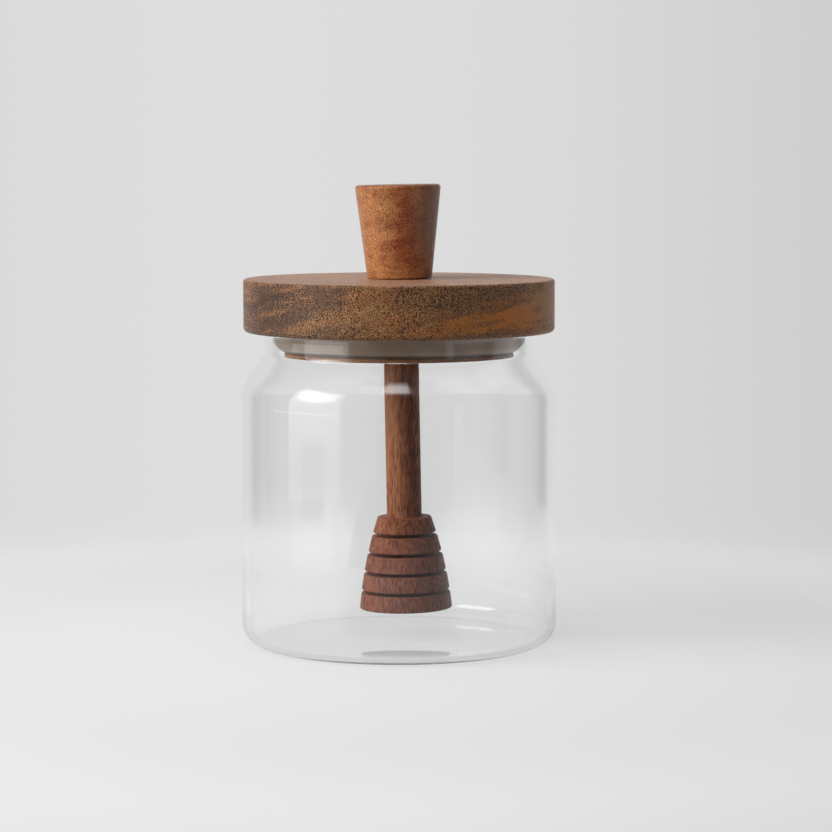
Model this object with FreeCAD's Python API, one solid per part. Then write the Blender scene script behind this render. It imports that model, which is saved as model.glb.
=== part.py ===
import FreeCAD, Part

import math
import os

# A clear glass honey jar with an acacia lid. A wooden stick runs down through the lid: its top end is
# glued into a tapered knob, and its lower end is turned into a ringed honey dipper that hangs inside
# the jar. Millimetres, +Z up, with the origin at the centre of the jar's foot.

# --- Driving dimensions ---------------------------------------------------------------------------

# Glass jar
body_radius = 50.0
jar_height = 99.6
wall = 2.3
floor_thickness = 2.0
heel_radius = 7.0  # rounding where the foot meets the wall, outside
inner_heel_radius = 4.8
shoulder_width = 7.2  # how far the neck stands in from the body
shoulder_slope = 34.4  # degrees from upright
shoulder_radius = 15.0
neck_height = 6.8  # from the shoulder's upper corner to the rim
neck_fillet = 3.1
rim_share = 0.45  # the rim's two roundings, each as a share of the wall

# Wooden lid: a thick disc, and below it a plug with a groove for the seal and a flange under it
lid_inset = 0.7  # the disc is this much smaller in radius than the jar's body
lid_thickness = 16.7
lid_top_round = 0.9
lid_bottom_round = 1.5
plug_depth = 8.3  # from the disc's underside to the flange's underside
flange_thickness = 2.0
flange_clearance = 4.2  # from the flange's edge to the glass
flange_round = 0.5
groove_depth = 2.3  # from the flange's edge in to the groove's floor

# Silicone seal
seal_clearance = 0.1  # from the seal to the glass
seal_play = 0.1  # between the seal and the wood around it

# Stick: the straight line that the knob, the shaft and the dipper's head share
stick_lean = 1.1  # degrees, the foot towards +X
stick_offset = 0.2  # where it crosses the lid's top, along +X
shaft_radius = 5.55
bore_play = 0.25  # between the shaft and the hole in the lid
socket_play = 0.1  # between the shaft and the knob's socket
socket_end_gap = 0.5

# Knob
knob_height = 29.5
knob_base_radius = 10.2
knob_top_radius = 13.65
knob_base_round = 0.5
knob_top_round = 1.1
socket_depth = 16.0

# Dipper's head
head_gap_below = 11.4  # from the floor that the jar stands on to the head's underside
head_base_radius = 14.75
head_top_radius = 8.5
head_bulge = 0.9  # how far the outline bows outwards half-way up
ring_count = 5
ring_thickness = 5.05
ring_gap = 1.0
ring_round = 0.45

# --- Sizes that follow ----------------------------------------------------------------------------

neck_radius = body_radius - shoulder_width
neck_bore = neck_radius - wall
neck_corner_z = jar_height - neck_height
lid_radius = body_radius - lid_inset
lid_top_z = jar_height + lid_thickness
plug_bottom_z = jar_height - plug_depth
flange_top_z = plug_bottom_z + flange_thickness
flange_radius = neck_bore - flange_clearance
groove_floor_radius = flange_radius - groove_depth
seal_radius = neck_bore - seal_clearance
ring_pitch = ring_thickness + ring_gap
head_height = ring_count * ring_pitch - ring_gap
# Heights along the stick start at the lid's top.
head_base_z = head_gap_below - lid_top_z
knob_base_z = knob_base_radius * math.tan(math.radians(stick_lean))  # its low edge meets the lid
shaft_top_z = knob_base_z + socket_depth - socket_end_gap


# --- Turned shapes --------------------------------------------------------------------------------


def rounded_outline(corners):
    """A closed wire in the XZ plane through (radius, height, rounding) corners, with tangent arcs."""
    points = [FreeCAD.Vector(x, 0, z) for x, z, _ in corners]
    edges = []
    starts = []
    ends = []
    for i, (_, _, rounding) in enumerate(corners):
        here = points[i]
        back = (points[i - 1] - here).normalize()
        on = (points[(i + 1) % len(points)] - here).normalize()
        if rounding == 0:
            starts.append(here)
            ends.append(here)
            continue
        half_angle = back.getAngle(on) / 2
        reach = rounding / math.tan(half_angle)
        to_centre = (back + on).normalize()
        middle = here + to_centre * (rounding / math.sin(half_angle) - rounding)
        starts.append(here + back * reach)
        ends.append(here + on * reach)
        edges.append(Part.Arc(starts[i], middle, ends[i]).toShape())
    for i, end in enumerate(ends):
        start = starts[(i + 1) % len(starts)]
        edges.append(Part.LineSegment(end, start).toShape())
    return Part.Wire(Part.__sortEdges__(edges))


def turned(wire):
    """The solid that a wire in the XZ plane makes in one turn around Z."""
    face = Part.Face(wire)
    return face.revolve(FreeCAD.Vector(0, 0, 0), FreeCAD.Vector(0, 0, 1), 360)


def on_stick(shape):
    """Moves a shape modelled upright, its origin at the lid's top, onto the leaning stick."""
    shape.rotate(FreeCAD.Vector(0, 0, 0), FreeCAD.Vector(0, 1, 0), -stick_lean)
    shape.translate(FreeCAD.Vector(stick_offset, 0, lid_top_z))
    return shape


# --- Pieces ---------------------------------------------------------------------------------------


def make_jar():
    slope = math.radians(shoulder_slope)
    shoulder_corner_z = neck_corner_z - shoulder_width / math.tan(slope)
    inner_drop = wall * math.tan(slope / 2)  # an inner corner lies this much lower than the outer one
    inner_radius = body_radius - wall
    rim_round = rim_share * wall
    return turned(
        rounded_outline(
            [
                (0, 0, 0),
                (body_radius, 0, heel_radius),
                (body_radius, shoulder_corner_z, shoulder_radius),
                (neck_radius, neck_corner_z, neck_fillet),
                (neck_radius, jar_height, rim_round),
                (neck_bore, jar_height, rim_round),
                (neck_bore, neck_corner_z - inner_drop, neck_fillet + wall),
                (inner_radius, shoulder_corner_z - inner_drop, shoulder_radius - wall),
                (inner_radius, floor_thickness, inner_heel_radius),
                (0, floor_thickness, 0),
            ]
        )
    )


def make_lid():
    blank = turned(
        rounded_outline(
            [
                (0, plug_bottom_z, 0),
                (flange_radius, plug_bottom_z, flange_round),
                (flange_radius, flange_top_z, flange_round),
                (groove_floor_radius, flange_top_z, 0),
                (groove_floor_radius, jar_height, 0),
                (lid_radius, jar_height, lid_bottom_round),
                (lid_radius, lid_top_z, lid_top_round),
                (0, lid_top_z, 0),
            ]
        )
    )
    thickness = lid_thickness + plug_depth
    bore = Part.makeCylinder(shaft_radius + bore_play, 3 * thickness)
    bore.translate(FreeCAD.Vector(0, 0, -2 * thickness))
    return blank.cut(on_stick(bore))


def make_seal():
    """A ring that fills the groove and bulges towards the glass, in one arc upright at its top."""
    top = jar_height - seal_play
    bottom = flange_top_z + seal_play
    inner = groove_floor_radius + seal_play
    across = seal_radius - flange_radius
    bulge_radius = (across**2 + (top - bottom) ** 2) / (2 * across)
    half_turn = math.asin((top - bottom) / bulge_radius) / 2
    bulge = FreeCAD.Vector(
        seal_radius - bulge_radius * (1 - math.cos(half_turn)),
        0,
        top - bulge_radius * math.sin(half_turn),
    )
    inner_foot = FreeCAD.Vector(inner, 0, bottom)
    inner_head = FreeCAD.Vector(inner, 0, top)
    outer_head = FreeCAD.Vector(seal_radius, 0, top)
    outer_foot = FreeCAD.Vector(flange_radius, 0, bottom)
    return turned(
        Part.Wire(
            [
                Part.LineSegment(inner_foot, inner_head).toShape(),
                Part.LineSegment(inner_head, outer_head).toShape(),
                Part.Arc(outer_head, bulge, outer_foot).toShape(),
                Part.LineSegment(outer_foot, inner_foot).toShape(),
            ]
        )
    )


def make_knob():
    """A cone, wider at the top, with a blind socket. It is square to the stick, so it leans as well."""
    knob_top_z = knob_base_z + knob_height
    cone = turned(
        rounded_outline(
            [
                (0, knob_base_z, 0),
                (knob_base_radius, knob_base_z, knob_base_round),
                (knob_top_radius, knob_top_z, knob_top_round),
                (0, knob_top_z, 0),
            ]
        )
    )
    socket = Part.makeCylinder(shaft_radius + socket_play, socket_depth)
    socket.translate(FreeCAD.Vector(0, 0, knob_base_z))
    return on_stick(cone.cut(socket))


def head_radius(height):
    """The radius of the dipper's head at a height above its underside."""
    share = height / head_height
    chord = head_base_radius + share * (head_top_radius - head_base_radius)
    return chord + 4 * head_bulge * share * (1 - share)


def make_dipper():
    """The shaft and the ringed head, turned from one stick."""
    corners = [(0, head_base_z, 0)]
    for ring in range(ring_count):
        low = ring * ring_pitch
        high = low + ring_thickness
        corners.append((head_radius(low), head_base_z + low, ring_round))
        corners.append((head_radius(high), head_base_z + high, ring_round))
        corners.append((shaft_radius, head_base_z + high, 0))
        if ring < ring_count - 1:
            corners.append((shaft_radius, head_base_z + high + ring_gap, 0))
    corners.append((shaft_radius, shaft_top_z, 0))
    corners.append((0, shaft_top_z, 0))
    return on_stick(turned(rounded_outline(corners)))


pieces = {
    "jar": make_jar(),
    "lid": make_lid(),
    "seal": make_seal(),
    "knob": make_knob(),
    "dipper": make_dipper(),
}

os.makedirs("parts", exist_ok=True)
for node, shape in pieces.items():
    shape.exportStep(f"parts/{node}.step")
    print(f"{node}: {len(shape.Solids)} solid, {shape.Volume / 1000:.2f} cm3, valid {shape.isValid()}")
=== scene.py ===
import math

import bpy
from mathutils import Matrix, Vector


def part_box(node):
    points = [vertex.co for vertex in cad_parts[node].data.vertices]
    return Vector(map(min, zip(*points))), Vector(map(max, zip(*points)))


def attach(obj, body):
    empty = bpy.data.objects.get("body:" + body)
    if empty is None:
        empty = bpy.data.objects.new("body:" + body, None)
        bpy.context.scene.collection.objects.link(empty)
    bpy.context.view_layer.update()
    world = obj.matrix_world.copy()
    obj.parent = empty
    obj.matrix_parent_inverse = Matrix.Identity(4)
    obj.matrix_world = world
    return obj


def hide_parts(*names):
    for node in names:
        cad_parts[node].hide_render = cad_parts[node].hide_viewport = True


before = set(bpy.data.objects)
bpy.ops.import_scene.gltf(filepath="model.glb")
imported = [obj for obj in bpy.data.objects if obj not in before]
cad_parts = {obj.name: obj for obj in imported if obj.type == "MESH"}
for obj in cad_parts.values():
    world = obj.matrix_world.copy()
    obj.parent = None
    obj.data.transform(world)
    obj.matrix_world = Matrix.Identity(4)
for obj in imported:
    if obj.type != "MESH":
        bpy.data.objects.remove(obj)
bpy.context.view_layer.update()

# --- Sizes, in metres: the outer ones from the frame, the others as in the part --------------------

MM = 0.001

_, jar_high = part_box("jar")
lid_low, lid_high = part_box("lid")
_, seal_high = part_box("seal")

# Jar
body_radius = jar_high.x
rim_z = jar_high.z
wall = 2.3 * MM
floor_thickness = 2.0 * MM
heel_radius = 7.0 * MM
inner_heel_radius = 4.8 * MM
shoulder_width = 7.2 * MM
shoulder_slope = math.radians(34.4)
shoulder_radius = 15 * MM
neck_height = 6.8 * MM
neck_fillet = 3.1 * MM
rim_round = 0.45 * wall

# Lid and seal
lid_radius = lid_high.x
lid_top_z = lid_high.z
lid_top_round = 0.9 * MM
lid_bottom_round = 1.5 * MM
plug_bottom_z = lid_low.z
flange_thickness = 2.0 * MM
flange_clearance = 4.2 * MM
flange_round = 0.5 * MM
groove_depth = 2.3 * MM
seal_radius = seal_high.x
seal_play = 0.1 * MM

# Stick and knob
stick_lean = math.radians(1.1)
stick_offset = 0.2 * MM
shaft_radius = 5.55 * MM
bore_play = 0.25 * MM
knob_height = 29.5 * MM
knob_base_radius = 10.2 * MM
knob_top_radius = 13.65 * MM
knob_base_round = 0.5 * MM
knob_top_round = 1.1 * MM
socket_depth = 16 * MM
socket_play = 0.1 * MM
socket_end_gap = 0.5 * MM

# Dipper's head
head_gap_below = 11.4 * MM
head_base_radius = 14.75 * MM
head_top_radius = 8.5 * MM
head_bulge = 0.9 * MM
ring_count = 5
ring_thickness = 5.05 * MM
ring_gap = 1.0 * MM
ring_round = 0.45 * MM

# Edges that are sharp in the part are broken here.
hole_round = 0.3 * MM  # the hole in the lid, and the shaft's end
corner_round = 0.2 * MM  # the grooves between the rings, and the socket's mouth

neck_radius = body_radius - shoulder_width
neck_bore = neck_radius - wall
flange_radius = neck_bore - flange_clearance
groove_floor_radius = flange_radius - groove_depth
flange_top_z = plug_bottom_z + flange_thickness
ring_pitch = ring_thickness + ring_gap
head_height = ring_count * ring_pitch - ring_gap
# Along the stick, heights start at the lid's top.
head_base_z = head_gap_below - lid_top_z
knob_base_z = knob_base_radius * math.tan(stick_lean)
shaft_top_z = knob_base_z + socket_depth - socket_end_gap


# --- Node helpers ---------------------------------------------------------------------------------


def srgb(red, green, blue):
    """A colour given as it shows on screen, 0 to 255, as linear numbers."""

    def linear(level):
        share = level / 255
        return share / 12.92 if share <= 0.04045 else ((share + 0.055) / 1.055) ** 2.4

    return (linear(red), linear(green), linear(blue), 1.0)


def grey(level):
    return (level, level, level, 1.0)


def put(tree, kind, sockets=None, **settings):
    """Adds a node, sets its properties, and gives each input a value or another node's output."""
    node = tree.nodes.new(kind)
    for key, value in settings.items():
        setattr(node, key, value)
    for key, value in (sockets or {}).items():
        if isinstance(value, bpy.types.NodeSocket):
            tree.links.new(value, node.inputs[key])
        else:
            node.inputs[key].default_value = value
    return node


def math_node(tree, operation, first, second=0.5, clamp=False):
    sockets = {0: first, 1: second}
    return put(tree, "ShaderNodeMath", sockets, operation=operation, use_clamp=clamp).outputs[0]


def add(tree, first, second):
    return math_node(tree, "ADD", first, second)


def subtract(tree, first, second):
    return math_node(tree, "SUBTRACT", first, second)


def multiply(tree, first, second, clamp=False):
    return math_node(tree, "MULTIPLY", first, second, clamp)


def vector_node(tree, operation, first, second):
    return put(tree, "ShaderNodeVectorMath", {0: first, 1: second}, operation=operation).outputs[0]


def length(tree, vector):
    return put(tree, "ShaderNodeVectorMath", {0: vector}, operation="LENGTH").outputs["Value"]


def map_range(tree, value, low, high, to_low=0.0, to_high=1.0, smooth=True):
    return put(
        tree, "ShaderNodeMapRange", {0: value, 1: low, 2: high, 3: to_low, 4: to_high},
        interpolation_type="SMOOTHSTEP" if smooth else "LINEAR",
    ).outputs[0]


def mix_colour(tree, factor, first, second, blend="MIX"):
    sockets = {0: factor, 6: first, 7: second}
    return put(tree, "ShaderNodeMix", sockets, data_type="RGBA", blend_type=blend).outputs[2]


def ramp(tree, value, stops):
    node = put(tree, "ShaderNodeValToRGB", {"Fac": value})
    elements = node.color_ramp.elements
    while len(elements) < len(stops):
        elements.new(0.5)
    for element, (position, colour) in zip(elements, stops):
        element.position = position
        element.color = colour
    return node.outputs["Color"]


def noise(tree, vector, size, stretch=(1, 1, 1), detail=2.0, roughness=0.5):
    """Noise whose grains are about size metres across, times stretch along each axis."""
    squeezed = put(tree, "ShaderNodeMapping", {"Vector": vector, "Scale": [1 / s for s in stretch]})
    return put(
        tree, "ShaderNodeTexNoise",
        {
            "Vector": squeezed.outputs[0],
            "Scale": 1 / size,
            "Detail": detail,
            "Roughness": roughness,
        },
    ).outputs


def cells(tree, vector, size, stretch):
    """The distance to the nearest of many scattered points, in shares of their spacing."""
    scaled = vector_node(tree, "MULTIPLY", vector, [1 / (size * s) for s in stretch])
    sockets = {"Vector": scaled, "Scale": 1.0, "Randomness": 0.9}
    return put(tree, "ShaderNodeTexVoronoi", sockets).outputs["Distance"]


def new_material(name):
    """An empty node material, and its tree."""
    material = bpy.data.materials.new(name)
    material.use_nodes = True
    tree = material.node_tree
    tree.nodes.clear()
    return material, tree


def finish_material(tree, shader):
    put(tree, "ShaderNodeOutputMaterial", {"Surface": shader})


# --- Materials ------------------------------------------------------------------------------------

DARK = srgb(50, 31, 25)
# Painted sheen: the lid's upper face is painted paler, for the bright room it mirrors at a grazing
# angle.
GOLD = srgb(168, 122, 76)
TOP_SHEEN = srgb(178, 138, 114)
TOP_SHEEN_SHARE = 0.7  # how much of the lid's upper face takes the painted sheen colour
PORE_TINT = (0.32, 0.27, 0.25, 1.0)
FLECK_TINT = (1.9, 1.85, 1.7, 1.0)
FLECK_SHARE = 0.75  # how much of a fleck is its own colour, and not the wood's


def glass_material():
    """Clear glass. Light that falls on other surfaces passes straight through it."""
    material, tree = new_material("clear_glass")
    glass = put(
        tree, "ShaderNodeBsdfPrincipled",
        {
            "Base Color": (0.992, 0.996, 0.994, 1.0),
            "Roughness": 0.0,
            "IOR": 1.47,
            "Transmission Weight": 1.0,
        },
    )
    facing = put(tree, "ShaderNodeLayerWeight", {"Blend": 0.5}).outputs["Facing"]
    passed = ramp(tree, facing, [(0.0, grey(0.97)), (0.6, grey(0.92)), (0.95, grey(0.6))])
    clear = put(tree, "ShaderNodeBsdfTransparent", {"Color": passed})
    path = put(tree, "ShaderNodeLightPath").outputs
    straight = math_node(tree, "MAXIMUM", path["Is Shadow Ray"], path["Is Diffuse Ray"])
    sockets = {0: straight, 1: glass.outputs[0], 2: clear.outputs[0]}
    finish_material(tree, put(tree, "ShaderNodeMixShader", sockets).outputs[0])
    return material


def zone(tree, place, centre, tilt, radii, ragged):
    """1 inside an ellipsoid, fading to 0 outside it. It rises towards +X by tilt degrees. In mm."""
    away = vector_node(tree, "SUBTRACT", place, Vector(centre) * MM)
    sockets = {"Vector": away, "Angle": math.radians(tilt)}
    away = put(tree, "ShaderNodeVectorRotate", sockets, rotation_type="Y_AXIS").outputs[0]
    scaled = vector_node(tree, "MULTIPLY", away, [1 / (r * MM) for r in radii])
    return map_range(tree, add(tree, length(tree, scaled), ragged), 0.35, 1.45, 1.0, 0.0)


def wood_material(
    name, turn, palette, band, stretch, warp, pore, pore_stretch, speckle, fleck_colour, streak,
    zones, gloss, polish, relief, top=None,
):
    """Solid wood, with its figure right through it.

    turn is the rotation into the wood's own axes, with the grain along Y. The palette colours the
    growth bands, which are band thick, stretch times that along each axis, and wander by warp.
    Pores and pale flecks are pore apart across the grain and pore_stretch times that along it, and
    speckle is how strongly they show. streak is the contrast of the fine lines along the grain.
    Each of the zones is (centre in mm, rise in degrees, radii in mm, colour, share of it, how far
    it smooths the speckle). gloss is the roughness, polish the weight of the coat, and relief the
    depth of the bumps. top, if given, is the height of an upper face that is smoother and painted
    paler: painted sheen, for the bright room mirrored at a grazing angle.
    """
    material, tree = new_material(name)
    place = put(tree, "ShaderNodeTexCoord").outputs["Object"]
    turned = put(tree, "ShaderNodeMapping", {"Vector": place, "Rotation": turn}).outputs[0]

    # The bands wander: the place is shifted by slow noise before they are read.
    drift = noise(tree, turned, 22 * MM, (1.5, 4, 1), detail=3)["Color"]
    centred = vector_node(tree, "SUBTRACT", drift, (0.5, 0.5, 0.5))
    shift = vector_node(tree, "MULTIPLY", centred, (warp, warp, warp))
    warped = vector_node(tree, "ADD", turned, shift)
    bands = noise(tree, warped, band, stretch, detail=5, roughness=0.62)["Fac"]
    colour = ramp(tree, bands, palette)

    # Pores and the pale fibres between them. Across the grain they are dots, along it dashes.
    dots = cells(tree, turned, pore, (1, pore_stretch, 1))
    patches = noise(tree, turned, 3 * MM, (1.5, 6, 1), detail=2)["Fac"]
    strength = map_range(tree, patches, 0.3, 0.7, 0.55 * speckle, 1.3 * speckle)

    # Marked figure: darker, paler or smoother places with ragged edges.
    tears = noise(tree, warped, 2.2 * MM, (5, 8, 1), detail=3)["Fac"]
    ragged = multiply(tree, subtract(tree, tears, 0.5), 2.4)
    for centre, tilt, radii, tone, share, smoothness in zones:
        inside = zone(tree, place, centre, tilt, radii, ragged)
        colour = mix_colour(tree, multiply(tree, inside, share), colour, tone)
        kept = subtract(tree, 1.0, multiply(tree, inside, smoothness))
        strength = multiply(tree, strength, kept)

    # Painted sheen: the upper face is painted paler, for the bright room mirrored at a grazing
    # angle, and its speckle is smoothed.
    if top is not None:
        height = put(tree, "ShaderNodeSeparateXYZ", {0: place}).outputs["Z"]
        painted_top_sheen = map_range(tree, height, top - 0.35 * MM, top - 0.05 * MM)
        painted_top_sheen = multiply(tree, painted_top_sheen, TOP_SHEEN_SHARE)
        colour = mix_colour(tree, painted_top_sheen, colour, TOP_SHEEN)
        strength = multiply(tree, strength, subtract(tree, 1.0, painted_top_sheen))

    dark = mix_colour(tree, 1.0, colour, PORE_TINT, "MULTIPLY")
    pale = mix_colour(tree, 1.0, colour, FLECK_TINT, "MULTIPLY")
    pale = mix_colour(tree, FLECK_SHARE, pale, fleck_colour)
    holes = map_range(tree, dots, 0.46, 0.70)
    flecks = map_range(tree, dots, 0.26, 0.52, 1.0, 0.0)
    colour = mix_colour(tree, multiply(tree, holes, strength, clamp=True), colour, dark)
    colour = mix_colour(tree, multiply(tree, flecks, strength, clamp=True), colour, pale)

    # Fine lines along the grain.
    fibres = noise(tree, turned, 0.45 * MM, (1, 60, 1), detail=3)["Fac"]
    lines = ramp(tree, fibres, [(0.25, grey(1 - streak)), (0.75, grey(1 + streak))])
    colour = mix_colour(tree, 1.0, colour, lines, "MULTIPLY")

    roughness = map_range(tree, dots, 0.25, 0.65, gloss - 0.04, gloss + 0.14)
    swell = map_range(tree, dots, 0.2, 0.65, 1.0, 0.0)
    height = add(tree, swell, multiply(tree, fibres, 0.3))
    sockets = {"Height": height, "Strength": 1.0, "Distance": relief}
    surface = put(
        tree, "ShaderNodeBsdfPrincipled",
        {
            "Base Color": colour,
            "Roughness": roughness,
            "Specular IOR Level": 0.25,
            "Coat Weight": polish,
            "Coat Roughness": 0.34,
            "Normal": put(tree, "ShaderNodeBump", sockets).outputs[0],
        },
    )
    finish_material(tree, surface.outputs[0])
    return material


def silicone_material():
    """Grey translucent silicone with a soft bloom, and painted shade at its foot."""
    material, tree = new_material("silicone")
    place = put(tree, "ShaderNodeTexCoord").outputs["Object"]
    cloud = noise(tree, place, 9 * MM)["Fac"]
    grain = noise(tree, place, 0.35 * MM)["Fac"]
    colour = ramp(tree, cloud, [(0.3, srgb(162, 136, 114)), (0.7, srgb(182, 156, 132))])
    # Painted shade: lit darkens its foot in its colour, standing in for the shade of its own bulge.
    height = put(tree, "ShaderNodeSeparateXYZ", {0: place}).outputs["Z"]
    lit = map_range(tree, height, flange_top_z + 0.7 * MM, flange_top_z + 1.3 * MM, 0.3, 1.0)
    colour = mix_colour(tree, 1.0, colour, lit, "MULTIPLY")
    sockets = {"Height": grain, "Strength": 0.5, "Distance": 0.02 * MM}
    surface = put(
        tree, "ShaderNodeBsdfPrincipled",
        {
            "Base Color": colour,
            "Roughness": map_range(tree, grain, 0.3, 0.7, 0.3, 0.42),
            "Normal": put(tree, "ShaderNodeBump", sockets).outputs[0],
            "IOR": 1.41,
            "Subsurface Weight": 0.35,
            "Subsurface Radius": (1.0, 0.95, 0.85),
            "Subsurface Scale": 1.5 * MM,
        },
    )
    finish_material(tree, surface.outputs[0])
    return material


# --- Turned meshes --------------------------------------------------------------------------------

ARC_STEP = math.radians(6)
LONGEST_STEP = 1.6 * MM
SHARP_ANGLE = math.radians(50)
ON_AXIS = 1e-7  # an outline point nearer to the axis than this is a single vertex


def even(points, closed):
    """The same outline with its long stretches divided, so that shading stays true beside arcs."""
    result = []
    ends = points[1:] + points[:1] if closed else points[1:]
    for start, end in zip(points, ends):
        pieces = max(1, math.ceil((end - start).length / LONGEST_STEP))
        for piece in range(pieces):
            result.append(start.lerp(end, piece / pieces))
    if not closed:
        result.append(points[-1])
    return result


def rounded(corners, closed=False):
    """Points of an outline through (radius, height, rounding) corners, the arcs cut finely."""
    count = len(corners)
    places = [Vector((x, z)) for x, z, _ in corners]
    points = []
    for i, (_, _, rounding) in enumerate(corners):
        here = places[i]
        if rounding == 0 or (not closed and i in (0, count - 1)):
            points.append(here)
            continue
        back = (places[i - 1] - here).normalized()
        on = (places[(i + 1) % count] - here).normalized()
        half_angle = back.angle(on) / 2
        centre = here + (back + on).normalized() * (rounding / math.sin(half_angle))
        start = here + back * (rounding / math.tan(half_angle)) - centre
        sweep = (math.pi - 2 * half_angle) * (1 if back.cross(on) < 0 else -1)
        steps = max(3, math.ceil(abs(sweep) / ARC_STEP))
        for step in range(steps + 1):
            points.append(centre + Matrix.Rotation(sweep * step / steps, 2) @ start)
    return even(points, closed)


def turned_mesh(name, outline, segments, closed=False, place=None):
    """A mesh that an outline makes in one turn around Z. place, if given, moves each vertex."""
    vertices = []
    rings = []
    for point in outline:
        start = len(vertices)
        if point.x < ON_AXIS:
            vertices.append(Vector((0, 0, point.y)))
            rings.append([start] * segments)
            continue
        for i in range(segments):
            angle = 2 * math.pi * i / segments
            vertices.append(
                Vector((point.x * math.cos(angle), point.x * math.sin(angle), point.y))
            )
        rings.append([start + i for i in range(segments)])
    faces = []
    for low, high in zip(rings, rings[1:] + (rings[:1] if closed else [])):
        for i in range(segments):
            j = (i + 1) % segments
            # At the axis, two corners are the same vertex.
            face = list(dict.fromkeys([low[i], low[j], high[j], high[i]]))
            if len(face) > 2:
                faces.append(face)
    if place:
        vertices = [place(v) for v in vertices]
    mesh = bpy.data.meshes.new(name)
    mesh.from_pydata(vertices, [], faces)
    mesh.shade_smooth()
    mesh.set_sharp_from_angle(angle=SHARP_ANGLE)
    mesh.validate()
    mesh.update()
    piece = bpy.data.objects.new(name, mesh)
    bpy.context.scene.collection.objects.link(piece)
    return piece


def on_stick(point):
    """From upright, with the origin at the lid's top, onto the leaning stick."""
    leaning = Matrix.Rotation(-stick_lean, 3, "Y") @ point
    return leaning + Vector((stick_offset, 0, lid_top_z))


# --- Pieces ---------------------------------------------------------------------------------------


def make_jar():
    neck_corner_z = rim_z - neck_height
    shoulder_corner_z = neck_corner_z - shoulder_width / math.tan(shoulder_slope)
    inner_drop = wall * math.tan(shoulder_slope / 2)
    inner_radius = body_radius - wall
    outline = rounded(
        [
            (0, 0, 0),
            (body_radius, 0, heel_radius),
            (body_radius, shoulder_corner_z, shoulder_radius),
            (neck_radius, neck_corner_z, neck_fillet),
            (neck_radius, rim_z, rim_round),
            (neck_bore, rim_z, rim_round),
            (neck_bore, neck_corner_z - inner_drop, neck_fillet + wall),
            (inner_radius, shoulder_corner_z - inner_drop, shoulder_radius - wall),
            (inner_radius, floor_thickness, inner_heel_radius),
            (0, floor_thickness, 0),
        ]
    )
    return turned_mesh("glass_jar", outline, segments=320)


def make_lid():
    bore = shaft_radius + bore_play
    outline = rounded(
        [
            (bore, plug_bottom_z, hole_round),
            (flange_radius, plug_bottom_z, flange_round),
            (flange_radius, flange_top_z, flange_round),
            (groove_floor_radius, flange_top_z, 0),
            (groove_floor_radius, rim_z, 0),
            (lid_radius, rim_z, lid_bottom_round),
            (lid_radius, lid_top_z, lid_top_round),
            (bore, lid_top_z, hole_round),
        ],
        closed=True,
    )

    def follow_bore(point):
        """The hole leans with the stick, so its wall is shifted sideways by height."""
        radius = math.hypot(point.x, point.y)
        share = max(0.0, 1 - (radius - bore) / (knob_base_radius - bore))
        height = point.z - lid_top_z
        lean = stick_offset - height * math.tan(stick_lean)
        return point + Vector((share * lean, 0, 0))

    return turned_mesh("wooden_lid", outline, segments=256, closed=True, place=follow_bore)


def make_seal():
    """A ring that fills the groove and bulges towards the glass, in one arc upright at its top."""
    top = rim_z - seal_play
    bottom = flange_top_z + seal_play
    inner = groove_floor_radius + seal_play
    across = seal_radius - flange_radius
    bulge_radius = (across**2 + (top - bottom) ** 2) / (2 * across)
    turn = math.asin((top - bottom) / bulge_radius)
    steps = 16
    outline = [Vector((inner, bottom)), Vector((inner, top))]
    for step in range(steps + 1):
        angle = turn * step / steps
        radius = seal_radius - bulge_radius * (1 - math.cos(angle))
        outline.append(Vector((radius, top - bulge_radius * math.sin(angle))))
    outline.reverse()
    return turned_mesh("silicone_seal", even(outline, closed=True), segments=256, closed=True)


def make_knob():
    top = knob_base_z + knob_height
    socket = shaft_radius + socket_play
    outline = rounded(
        [
            (0, knob_base_z + socket_depth, 0),
            (socket, knob_base_z + socket_depth, 0),
            (socket, knob_base_z, corner_round),
            (knob_base_radius, knob_base_z, knob_base_round),
            (knob_top_radius, top, knob_top_round),
            (0, top, 0),
        ]
    )
    return turned_mesh("wooden_knob", outline, segments=192, place=on_stick)


def head_radius(height):
    """The radius of the dipper's head at a height above its underside."""
    share = height / head_height
    chord = head_base_radius + share * (head_top_radius - head_base_radius)
    return chord + 4 * head_bulge * share * (1 - share)


def make_dipper():
    corners = [(0, head_base_z, 0)]
    for ring in range(ring_count):
        low = ring * ring_pitch
        high = low + ring_thickness
        corners.append((head_radius(low), head_base_z + low, ring_round))
        corners.append((head_radius(high), head_base_z + high, ring_round))
        corners.append((shaft_radius, head_base_z + high, corner_round))
        if ring < ring_count - 1:
            corners.append((shaft_radius, head_base_z + high + ring_gap, corner_round))
    corners.append((shaft_radius, shaft_top_z, hole_round))
    corners.append((0, shaft_top_z, 0))
    return turned_mesh("honey_dipper", rounded(corners), segments=160, place=on_stick)


def dress(piece, node, material):
    piece.data.materials.append(material)
    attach(piece, "root")
    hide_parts(node)


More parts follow.
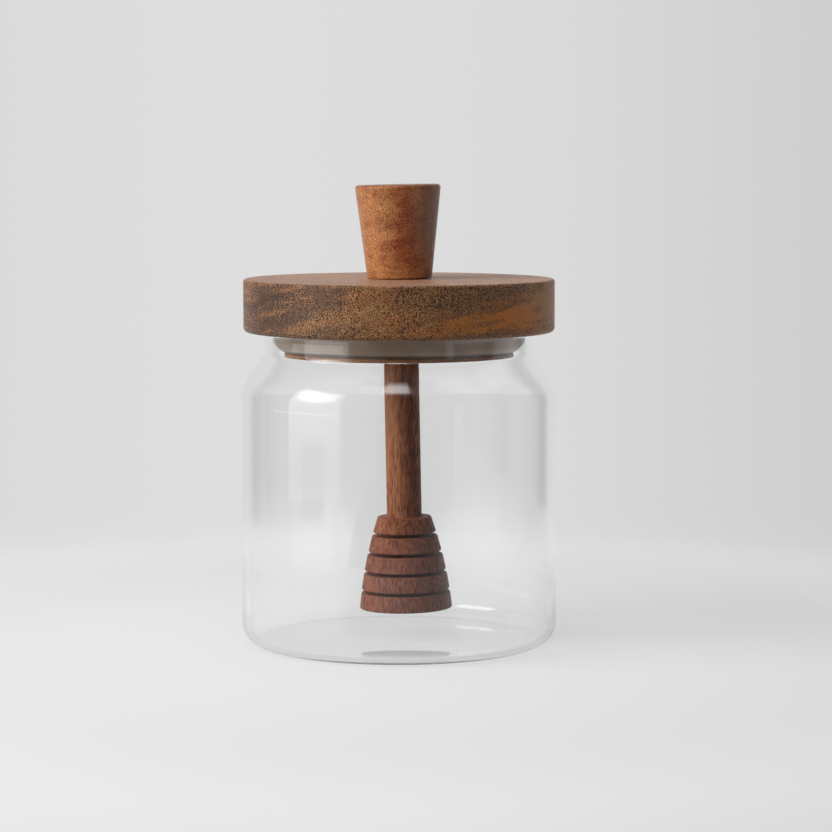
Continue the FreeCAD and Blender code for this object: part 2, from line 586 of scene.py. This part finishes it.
lid_wood = wood_material(
    "lid_wood",
    turn=(0, math.radians(14), 0),
    palette=[
        (0.28, srgb(78, 45, 31)),
        (0.40, srgb(110, 68, 45)),
        (0.50, srgb(139, 89, 56)),
        (0.60, srgb(160, 104, 60)),
        (0.72, srgb(126, 81, 56)),
    ],
    band=3.6 * MM,
    stretch=(6, 12, 1),
    warp=6 * MM,
    pore=0.34 * MM,
    pore_stretch=5,
    speckle=1.35,
    fleck_colour=srgb(190, 148, 102),
    streak=0.10,
    zones=[
        # The dark left side, with three darker streaks and a golden one that rise to the right
        ((-28, -38, 107), 12, (24, 28, 14), srgb(68, 44, 31), 0.7, 0.3),
        ((-45, -20, 106), 8, (14, 26, 12), srgb(64, 45, 38), 0.9, 0.6),
        ((-33, -36, 112.0), 17, (20, 20, 2.5), DARK, 0.85, 0.35),
        ((-29, -39, 108.2), 19, (18, 16, 2.7), DARK, 0.75, 0.25),
        ((-24, -42, 101.4), 19, (14, 12, 1.4), DARK, 0.65, 0.1),
        ((-25, -42, 104.6), 19, (13, 12, 1.3), GOLD, 0.25, 0.0),
        # The middle: a golden patch, and a dark one with strong speckle
        ((-6, -48, 108.6), 15, (13, 12, 2.6), GOLD, 0.4, 0.0),
        ((18, -45, 112.0), 3, (19, 16, 4.2), DARK, 0.6, -0.9),
        # The smooth orange band at the right, and the dark line under it
        ((38, -31, 106.0), 4, (17, 26, 4.8), srgb(234, 144, 64), 0.9, 0.7),
        ((19, -45, 103.6), 9, (13, 12, 2.2), srgb(204, 128, 60), 0.7, 0.4),
        ((30, -39, 101.0), 6, (10, 12, 0.9), DARK, 0.6, 0.2),
        # The flange, painted pale as painted light where little light reaches it, the quieter back
        # and the pale right end
        ((0, 0, 92.3), 0, (70, 70, 3), srgb(206, 144, 96), 0.65, 0.4),
        ((0, 42, 107), 0, (70, 50, 20), srgb(126, 88, 62), 0.15, 0.5),
        ((48, -14, 108), 0, (9, 22, 10), srgb(204, 150, 100), 0.8, 0.6),
    ],
    gloss=0.48,
    polish=0.2,
    relief=0.05 * MM,
    top=lid_top_z,
)
knob_wood = wood_material(
    "knob_wood",
    turn=(math.radians(90), 0, 0),
    palette=[
        (0.30, srgb(120, 62, 33)),
        (0.44, srgb(156, 92, 50)),
        (0.56, srgb(184, 122, 72)),
        (0.72, srgb(154, 88, 48)),
    ],
    band=5.5 * MM,
    stretch=(1.8, 0.7, 1),
    warp=7 * MM,
    pore=0.33 * MM,
    pore_stretch=1.4,
    speckle=0.55,
    fleck_colour=srgb(224, 170, 114),
    streak=0.08,
    zones=[
        # A red core, a brown right side, three curls and a dark top edge
        ((3, -13, 132), 2, (3.2, 9, 15), srgb(150, 62, 34), 0.75, 0.2),
        ((12, -8, 136), -8, (6, 9, 18), srgb(104, 66, 34), 0.75, 0.4),
        ((-1, -12, 127.5), 12, (9, 6, 1.3), srgb(124, 52, 28), 0.6, 0.1),
        ((1, -12, 123), -6, (9, 6, 1.1), srgb(128, 56, 30), 0.5, 0.1),
        ((-4, -12, 134.5), 8, (7, 6, 1.0), srgb(134, 66, 34), 0.4, 0.1),
        ((0, 0, 147), 0, (40, 40, 2.6), srgb(116, 56, 38), 0.6, 0.3),
    ],
    gloss=0.40,
    polish=0.35,
    relief=0.06 * MM,
)
dipper_wood = wood_material(
    "dipper_wood",
    turn=(math.radians(90), 0, 0),
    palette=[
        (0.30, srgb(94, 48, 32)),
        (0.46, srgb(130, 72, 49)),
        (0.60, srgb(158, 96, 66)),
        (0.74, srgb(116, 62, 43)),
    ],
    band=1.4 * MM,
    stretch=(1, 14, 1),
    warp=2 * MM,
    pore=0.4 * MM,
    pore_stretch=9,
    speckle=0.6,
    fleck_colour=srgb(170, 110, 74),
    streak=0.18,
    zones=[
        # A golden side along the shaft, also painted paler on its left as painted light, and a
        # greyer
        # lower part of the head: painted reflection, the glass's veil over its front
        ((-3.5, -5, 66), 0, (5, 9, 26), srgb(190, 132, 94), 0.6, 0.2),
        ((3, -12, 22), 0, (17, 12, 14), srgb(132, 92, 84), 0.5, 0.2),
    ],
    gloss=0.55,
    polish=0.15,
    relief=0.03 * MM,
)

dress(make_jar(), "jar", glass_material())
dress(make_lid(), "lid", lid_wood)
dress(make_seal(), "seal", silicone_material())
dress(make_knob(), "knob", knob_wood)
dress(make_dipper(), "dipper", dipper_wood)


# --- Floor ----------------------------------------------------------------------------------------

FLOOR_RADIUS = 0.31
FADE_START = 0.12
FADE_END = 0.30
FLOOR_DROP = 0.1 * MM  # keeps the floor clear of the jar's foot
FLOOR_GLOW = 0.47  # the floor's own brightness, to which the light that falls on it is added
FLOOR_COLOUR = 0.34


def studio_paths(tree):
    """The Light Path outputs, and 1 for rays that a surface has mirrored on their way."""
    path = put(tree, "ShaderNodeLightPath").outputs
    mirrored = math_node(tree, "GREATER_THAN", path["Glossy Depth"], 0.5)
    return path, mirrored


def make_floor():
    """A pale floor that fades out into the studio around it."""
    bpy.ops.mesh.primitive_circle_add(vertices=128, radius=FLOOR_RADIUS, fill_type="NGON")
    floor = bpy.context.object
    floor.name = "floor"
    floor.location.z = -FLOOR_DROP
    material, tree = new_material("floor")
    place = put(tree, "ShaderNodeTexCoord").outputs["Object"]
    distance = length(tree, place)
    x, y, _ = put(tree, "ShaderNodeSeparateXYZ", {0: place}).outputs
    path, mirrored = studio_paths(tree)

    # Seen, also through the glass: painted light, a little brighter to the left and around the
    # jar, where it lifts the jar's shadow.
    shown = map_range(tree, x, -0.11, 0.13, FLOOR_GLOW + 0.02, FLOOR_GLOW)
    shown = add(tree, shown, map_range(tree, distance, 0.07, 0.2, 0.045, 0.0))

    # Mirrored: darker close to the jar, painted shade for the jar's shadow there, and towards the
    # back, and also on the camera's side, apart from close to the jar.
    near = map_range(tree, distance, 0.05, 0.14, 0.5, 1.0)
    bearing = math_node(tree, "ARCTAN2", x, multiply(tree, y, -1.0))
    ahead = map_range(tree, math_node(tree, "ABSOLUTE", bearing), 0.4, 0.75, 0.25, 1.0)
    close = map_range(tree, distance, 0.09, 0.13, 1.0, 0.0)
    near = multiply(tree, near, math_node(tree, "MAXIMUM", ahead, close))
    reflected = multiply(tree, near, map_range(tree, y, -0.04, 0.13, 0.85, 0.45))

    sockets = {0: mirrored, 2: shown, 3: reflected}
    glow = put(tree, "ShaderNodeMix", sockets, data_type="FLOAT").outputs[0]
    glow = multiply(tree, glow, subtract(tree, 1.0, path["Is Diffuse Ray"]))
    paper = put(tree, "ShaderNodeBsdfDiffuse", {"Color": grey(FLOOR_COLOUR)})
    light = put(tree, "ShaderNodeEmission", {"Color": grey(1.0), "Strength": glow})
    both = put(tree, "ShaderNodeAddShader", {0: paper.outputs[0], 1: light.outputs[0]})
    clear = put(tree, "ShaderNodeBsdfTransparent")
    fade = map_range(tree, distance, FADE_START, FADE_END)
    sockets = {0: fade, 1: both.outputs[0], 2: clear.outputs[0]}
    finish_material(tree, put(tree, "ShaderNodeMixShader", sockets).outputs[0])
    floor.data.materials.append(material)


# --- Studio ---------------------------------------------------------------------------------------

# Brightness all round the room that is mirrored, as (azimuth, level). It is bright behind the jar
# and dark at the camera's side. Azimuth is in degrees from that side, and positive to its right.
ROOM = [
    (-180, 0.72), (-150, 0.68), (-140, 0.62), (-130, 0.12), (-124, 0.2), (-116, 0.42), (-92, 0.32),
    (-44, 0.4), (-20, 0.28), (-9, 0.05), (9, 0.05), (20, 0.2), (38, 0.2), (66, 0.4), (72, 0.3),
    (76, 0.0), (83, 0.0), (90, 0.8), (100, 1.0), (112, 1.25), (118, 0.7), (126, 0.0), (132, 0.05),
    (140, 0.62), (150, 0.68), (180, 0.72),
]
ROOM_FLOOR = [
    (-180, 0.75), (-140, 0.85), (-112, 0.95), (-85, 1.3), (-60, 1.45), (-38, 1.15), (-24, 0.25),
    (26, 0.25), (40, 1.15), (60, 1.35), (100, 1.0), (118, 0.9), (140, 0.75), (180, 0.75),
]
# The same for what is mirrored further in, by the inner side of a wall or by the jar's far wall
INSIDE_ROOM = [
    (-180, 0.7), (-146, 0.68), (-137, 0.55), (-129, 0.22), (-123, 0.3), (-112, 0.42), (-60, 0.42),
    (-20, 0.22), (-9, 0.05), (9, 0.05), (20, 0.22), (60, 0.46), (112, 0.44), (123, 0.3),
    (129, 0.22), (137, 0.55), (146, 0.68), (180, 0.7),
]
INSIDE_FLOOR = [
    (-180, 0.75), (-140, 0.75), (-110, 0.95), (-90, 1.0), (-82, 1.6), (-56, 1.6), (-48, 1.0),
    (-35, 0.8), (-22, 0.25), (22, 0.25), (35, 0.8), (50, 1.1), (62, 1.4), (84, 1.4), (110, 0.95),
    (140, 0.75), (180, 0.75),
]
# The room's floor ends this far below the horizon, in tens of degrees.
FLOOR_EDGE = [
    (-180, 0.71), (-57, 0.715), (-53, 0.665), (-43, 0.665), (-29, 0.77), (0, 0.80), (20, 0.72),
    (36, 0.70), (47, 0.547), (73, 0.613), (90, 0.63), (110, 0.68), (180, 0.70),
]

# Bright panels that are mirrored, each as its left, right, lower and upper side. A side is
# (azimuth or elevation in degrees, softness).
SOFTBOX = ((-86.8, 1.2), (-43, 2), (-40, 1), (36, 3))
SOFTBOX_CUT = ((-95, 2), (-53, 1), (-40, 1), (-6.72, 0.12))  # cut from its lower left
INSIDE_SOFTBOX = ((-86, 2), (-50, 2), (18, 4), (38, 3))
INSIDE_SOFTBOX_LEVEL = 4.0
# And what comes on top of the softbox, with its level
PANELS = [
    ((-75, 2), (-55, 2), (-40, 1), (-5.6, 0.15), -0.95),  # a darker patch low in the softbox
    ((-84, 8), (-54, 8), (13, 10), (31, 5), 2.9),  # its brighter upper part
    ((40, 1.5), (47, 1.5), (-40, 1), (10, 3), 0.8),  # a narrow strip to the right
    ((-36, 8), (8, 10), (40, 4), (58, 3), 1.6),  # a band above the camera
    ((-14, 3), (10, 3), (44, 4), (62, 3), 7.5),  # the glint in that band
    ((-76, 6), (-58, 6), (16, 5), (29, 4), 7.0),  # the softbox's hot spot
    ((-80, 1.5), (-48, 1.5), (-4.1, 0.05), (-3.6, 0.05), 2.2),  # the sheen on the neck
    ((-102, 1.5), (-80, 1.5), (-4.1, 0.05), (-3.6, 0.05), 2.0),  # and on its left edge
    ((-10, 12), (120, 12), (36, 6), (58, 3), 0.45),  # a faint wide band over the right side
]


def panel(tree, azimuth, elevation, left, right, low, high):
    """1 inside a window of directions and 0 outside it."""
    parts = [
        map_range(tree, azimuth, left[0] - left[1], left[0] + left[1]),
        map_range(tree, azimuth, right[0] - right[1], right[0] + right[1], 1.0, 0.0),
        map_range(tree, elevation, low[0] - low[1], low[0] + low[1]),
        map_range(tree, elevation, high[0] - high[1], high[0] + high[1], 1.0, 0.0),
    ]
    product = parts[0]
    for part in parts[1:]:
        product = multiply(tree, product, part)
    return product


def azimuth_ramp(tree, around, stops):
    return ramp(tree, around, [((azimuth + 180) / 360, grey(level)) for azimuth, level in stops])


def make_studio():
    """The studio all round: a pale wall above a pale floor, and what is mirrored and lit by it."""
    world = bpy.data.worlds.new("studio")
    bpy.context.scene.world = world
    world.use_nodes = True
    tree = world.node_tree
    tree.nodes.clear()
    direction = put(tree, "ShaderNodeTexCoord").outputs["Generated"]
    parts = put(tree, "ShaderNodeSeparateXYZ", {0: direction}).outputs
    to_degrees = 180 / math.pi
    front = multiply(tree, parts["Y"], -1.0)
    azimuth = multiply(tree, math_node(tree, "ARCTAN2", parts["X"], front), to_degrees)
    elevation = multiply(tree, math_node(tree, "ARCSINE", parts["Z"]), to_degrees)
    around = map_range(tree, azimuth, -180, 180, smooth=False)
    path, mirrored = studio_paths(tree)

    # What the camera sees, also through the glass: a wall above a floor, darker to the right.
    across = map_range(tree, parts["X"], -0.14, 0.14, smooth=False)
    backdrop_wall = ramp(
        tree, across,
        [(0.0, grey(0.705)), (0.28, grey(0.73)), (0.66, grey(0.70)), (1.0, grey(0.615))],
    )
    backdrop_floor = ramp(
        tree, across, [(0.0, grey(0.815)), (0.5, grey(0.775)), (1.0, grey(0.70))]
    )
    above = map_range(tree, elevation, -9.2, -6.8)
    backdrop = mix_colour(tree, above, backdrop_floor, backdrop_wall)

    # What is mirrored directly, by the outside of the glass or by wood: room, floor and panels.
    box = panel(tree, azimuth, elevation, *SOFTBOX)
    cut = panel(tree, azimuth, elevation, *SOFTBOX_CUT)
    box = multiply(tree, box, subtract(tree, 1.0, cut))
    lit = multiply(tree, box, map_range(tree, elevation, -5.9, -5.0, 1.1, 2.5, smooth=False))
    for *sides, level in PANELS:
        lit = add(tree, lit, multiply(tree, panel(tree, azimuth, elevation, *sides), level))
    room = mix_colour(tree, 1.0, azimuth_ramp(tree, around, ROOM), lit, "ADD")
    deep = map_range(tree, elevation, -5.5, -7.8, 0.62, 1.0)
    room_floor = azimuth_ramp(tree, around, ROOM_FLOOR)
    room_floor = mix_colour(tree, 1.0, room_floor, deep, "MULTIPLY")
    edge = multiply(tree, azimuth_ramp(tree, around, FLOOR_EDGE), -10.0)
    above = map_range(tree, subtract(tree, elevation, edge), -0.2, 0.2)
    outside = mix_colour(tree, above, room_floor, room)

    # What is mirrored further in: the same room, with only the top of the softbox.
    above = map_range(tree, elevation, -7.8, -6.2)
    inside = azimuth_ramp(tree, around, INSIDE_ROOM)
    inside = mix_colour(tree, above, azimuth_ramp(tree, around, INSIDE_FLOOR), inside)
    lit = multiply(tree, panel(tree, azimuth, elevation, *INSIDE_SOFTBOX), INSIDE_SOFTBOX_LEVEL)
    inside = mix_colour(tree, 1.0, inside, lit, "ADD")

    reflected = mix_colour(tree, path["Is Reflection Ray"], inside, outside)
    seen = mix_colour(tree, mirrored, backdrop, reflected)

    # What lights the surfaces, besides the lamps.
    fill = map_range(tree, parts["X"], -0.8, 0.8, 0.30, 0.07)
    colour = mix_colour(tree, path["Is Diffuse Ray"], seen, fill)
    background = put(tree, "ShaderNodeBackground", {"Color": colour, "Strength": 1.0})
    put(tree, "ShaderNodeOutputWorld", {"Surface": background.outputs[0]})


# --- Lamps ----------------------------------------------------------------------------------------

# Softboxes aimed at the jar, each as (name, azimuth, elevation, width, height, radiance). Angles
# are in degrees, and azimuth is from the camera's side, positive to its right.
LAMPS = [
    ("key", -65, 34, 0.6, 0.6, 6.2),
    ("side", -80, 6, 0.4, 0.3, 8.0),
    ("top", -20, 62, 0.6, 0.5, 2.2),
]
LAMP_AIM = Vector((0, 0, 0.07))
LAMP_DISTANCE = 1.0


def make_lamp(name, azimuth, elevation, width, height, radiance):
    turn = math.radians(azimuth)
    tilt = math.radians(elevation)
    back = Vector(
        (math.sin(turn) * math.cos(tilt), -math.cos(turn) * math.cos(tilt), math.sin(tilt))
    )
    lamp = bpy.data.lights.new(name, "AREA")
    lamp.shape = "RECTANGLE"
    lamp.size = width
    lamp.size_y = height
    lamp.energy = radiance * math.pi * width * height
    holder = bpy.data.objects.new(name, lamp)
    holder.location = LAMP_AIM + back * LAMP_DISTANCE
    holder.rotation_euler = back.to_track_quat("Z", "Y").to_euler()
    # What is seen or mirrored of them is in the studio's panels.
    holder.visible_camera = False
    holder.visible_glossy = False
    holder.visible_transmission = False
    bpy.context.scene.collection.objects.link(holder)


make_floor()
make_studio()
for lamp_settings in LAMPS:
    make_lamp(*lamp_settings)


# --- Camera ---------------------------------------------------------------------------------------

CAMERA_SENSOR = 36.0
CAMERA_LENS = 130.56
CAMERA_PLACE = (5.38 * MM, -955.7 * MM, 158.0 * MM)
CAMERA_PITCH = 5.107  # degrees below the horizon
GLASS_BOUNCES = 96  # the jar's floor and heel guide light through many reflections
DIFFUSE_BOUNCES = 4

camera_data = bpy.data.cameras.new("camera")
camera_data.sensor_width = CAMERA_SENSOR
camera_data.lens = CAMERA_LENS
camera = bpy.data.objects.new("camera", camera_data)
camera.location = CAMERA_PLACE
camera.rotation_euler = (math.radians(90 - CAMERA_PITCH), 0, 0)
bpy.context.scene.collection.objects.link(camera)
bpy.context.scene.camera = camera
bpy.context.scene.view_settings.view_transform = "Standard"

cycles = bpy.context.scene.cycles
cycles.max_bounces = cycles.transmission_bounces = cycles.glossy_bounces = GLASS_BOUNCES
cycles.diffuse_bounces = DIFFUSE_BOUNCES
